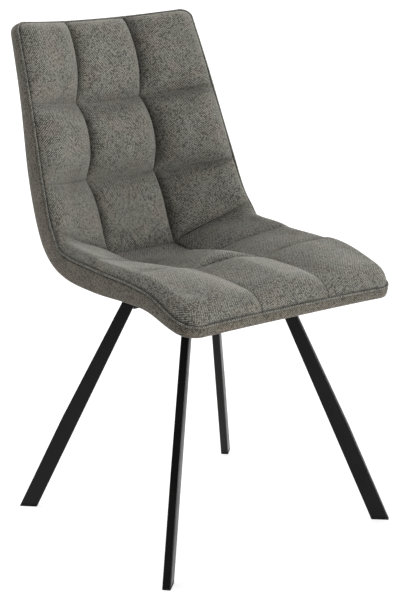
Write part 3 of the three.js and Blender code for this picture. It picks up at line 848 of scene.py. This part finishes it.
def lining():
    """Black non-woven lining: pressed fibres with a faint embossed dot grid."""
    n = Nodes("lining")
    uv = n.cloth_uv()
    dot_pitch = 0.0024
    fibre = n.noise(uv, 1400.0, 4.0, 0.75)
    u, v = n.parted(n.scaled(uv, 2 * math.pi / dot_pitch))
    dots = n.math("MULTIPLY", n.math("SINE", u), n.math("SINE", v))
    n.shade(
        Base_Color=n.ramp(fibre, [(0.3, (0.006, 0.006, 0.006)), (0.75, (0.022, 0.022, 0.023))]),
        Roughness=n.spread(fibre, 0.3, 0.7, 0.75, 0.95),
        Normal=n.bump(n.math("ADD", fibre, n.math("MULTIPLY", dots, 0.4)), 0.0002, 0.7),
    )
    return n.material


def fleece():
    """White wadding of loose fibres."""
    n = Nodes("fleece")
    fibre = n.noise(n.place(), 500.0, 4.0, 0.75)
    n.shade(
        Base_Color=n.ramp(fibre, [(0.3, (0.7, 0.69, 0.66)), (0.75, (0.88, 0.87, 0.84))]),
        Normal=n.bump(fibre, 0.0006, 0.8),
        Roughness=0.95,
    )
    return n.material


FLOOR_R = 26.0
FLOOR_FADES_FROM = 10.0
FLOOR_GLOW = 0.8


def studio_floor_material():
    """A pale floor that fades into the studio's grey far behind the chair."""
    n = Nodes("studio_floor")
    place = n.place()
    far = n.length(place)
    pale = n.ramp(n.noise(place, 30.0, 3.0), [(0.3, (0.39, 0.39, 0.39)), (0.7, (0.42, 0.42, 0.42))])
    n.shade(
        Base_Color=n.mix(n.spread(far, FLOOR_FADES_FROM, FLOOR_R, 0.0, 1.0), pale, (0.25, 0.25, 0.25, 1)),
        Roughness=0.9,
        Specular_IOR_Level=0.0,
        Emission_Color=(1, 1, 1, 1),
        Emission_Strength=n.spread(far, FLOOR_FADES_FROM, FLOOR_R, FLOOR_GLOW, 0.0),
    )
    return n.material


FRONT_TWEED = tweed("front_tweed", (0.033, 0.032, 0.028), (0.122, 0.117, 0.102), (0.278, 0.269, 0.236))
BAND_TWEED = tweed("band_tweed", (0.026, 0.023, 0.018), (0.092, 0.081, 0.065), (0.204, 0.184, 0.151))
STEEL = powder_coat()
PLASTIC = moulded_plastic()
LINING = lining()
CAD_MESH_MATERIALS = {
    "zinc_steel": bright_zinc(),
    "plywood": birch_ply(),
    "wadding": fleece(),
}

# ------------------------------------------------------------------ build

STEEL_EDGE_R = 0.4
CAP_EDGE_R = 1.2
BACK_OVERLAP = 2  # the back cover starts this far before the seat's rear
UNDER_GAP = 1  # and the under cover ends this far before it


def build_upholstery():
    pad = finish_piece(build_pad(), "front_tweed", FRONT_TWEED, "quilted_cover", "seat_foam", "back_foam")

    band, band_round, band_high = build_band()
    finish_piece(band, "band_tweed", BAND_TWEED, "side_band")

    finish_piece(build_welt(), "front_tweed", FRONT_TWEED, "welt")

    seat_rear = distance_of(REAR_OF_SEAT)
    back = build_cover("back_cloth", seat_rear - BACK_OVERLAP, LENGTH - COVER_INSET, puff=1.0)
    finish_piece(back, "band_tweed", BAND_TWEED, "back_cover")

    under = build_cover("under_cloth", COVER_INSET, seat_rear - UNDER_GAP, puff=0.2)
    finish_piece(under, "black_lining", LINING, "under_cover")


def build_hard_parts():
    """Rounded copies of the steel and the foot caps, and materials for the CAD meshes that stay."""
    for part in frame["record"]["subparts"]:
        slot = part["material_slot"]
        if slot == "black_plastic":
            rounded_copy(part, PLASTIC, CAP_EDGE_R)
        elif slot == "black_steel":
            rounded_copy(part, STEEL, STEEL_EDGE_R)
        elif slot in CAD_MESH_MATERIALS:
            materials = frame["nodes"][part["node"]].data.materials
            materials.clear()
            materials.append(CAD_MESH_MATERIALS[slot])


# ------------------------------------------------------------------ studio

CAMERA_AT = (-1.85949, -2.46145, 1.25615)
CAMERA_DOWN = 15.47  # degrees below level
CAMERA_TURN = -37.56  # degrees from facing +Y, anticlockwise seen from above
SENSOR = 36  # millimetres, as the lens is
LENS = 104.58
CAMERA_REACH = 50
WORLD_LIGHT = 0.3


def build_floor():
    sides = 96
    turns = np.linspace(0, 2 * math.pi, sides, endpoint=False)
    rim = np.stack([FLOOR_R * np.cos(turns), FLOOR_R * np.sin(turns), 0 * turns], 1)
    mesh = bpy.data.meshes.new("studio_floor")
    mesh.from_pydata([tuple(p) for p in rim], [], [tuple(range(sides))])
    mesh.materials.append(studio_floor_material())
    link_object("studio_floor", mesh)


def soft_sun(name, from_direction, strength, spread):
    """Even light from a wide patch of the studio; spread is the patch's angle in radians."""
    lamp = bpy.data.lights.new(name, "SUN")
    lamp.energy = strength
    lamp.angle = spread
    obj = link_object(name, lamp)
    obj.rotation_euler = Vector(from_direction).to_track_quat("Z", "Y").to_euler()


def build_lights():
    world = bpy.data.worlds.new("studio")
    world.use_nodes = True
    background = world.node_tree.nodes["Background"]
    background.inputs["Color"].default_value = (1, 1, 1, 1)
    background.inputs["Strength"].default_value = WORLD_LIGHT
    bpy.context.scene.world = world
    soft_sun("low_front", from_direction=(0.5, -0.862, 0.087), strength=4.2, spread=0.6)
    soft_sun("overhead", from_direction=(0, 0.5, 0.866), strength=2.7, spread=0.9)
    bpy.context.scene.view_settings.view_transform = "Standard"


def build_camera():
    lens = bpy.data.cameras.new("camera")
    lens.sensor_width = SENSOR
    lens.lens = LENS
    lens.clip_end = CAMERA_REACH
    camera = link_object("camera", lens)
    camera.location = CAMERA_AT
    camera.rotation_euler = (math.radians(90 - CAMERA_DOWN), 0, math.radians(CAMERA_TURN))
    bpy.context.scene.camera = camera


build_upholstery()
build_hard_parts()
build_floor()
build_lights()
build_camera()
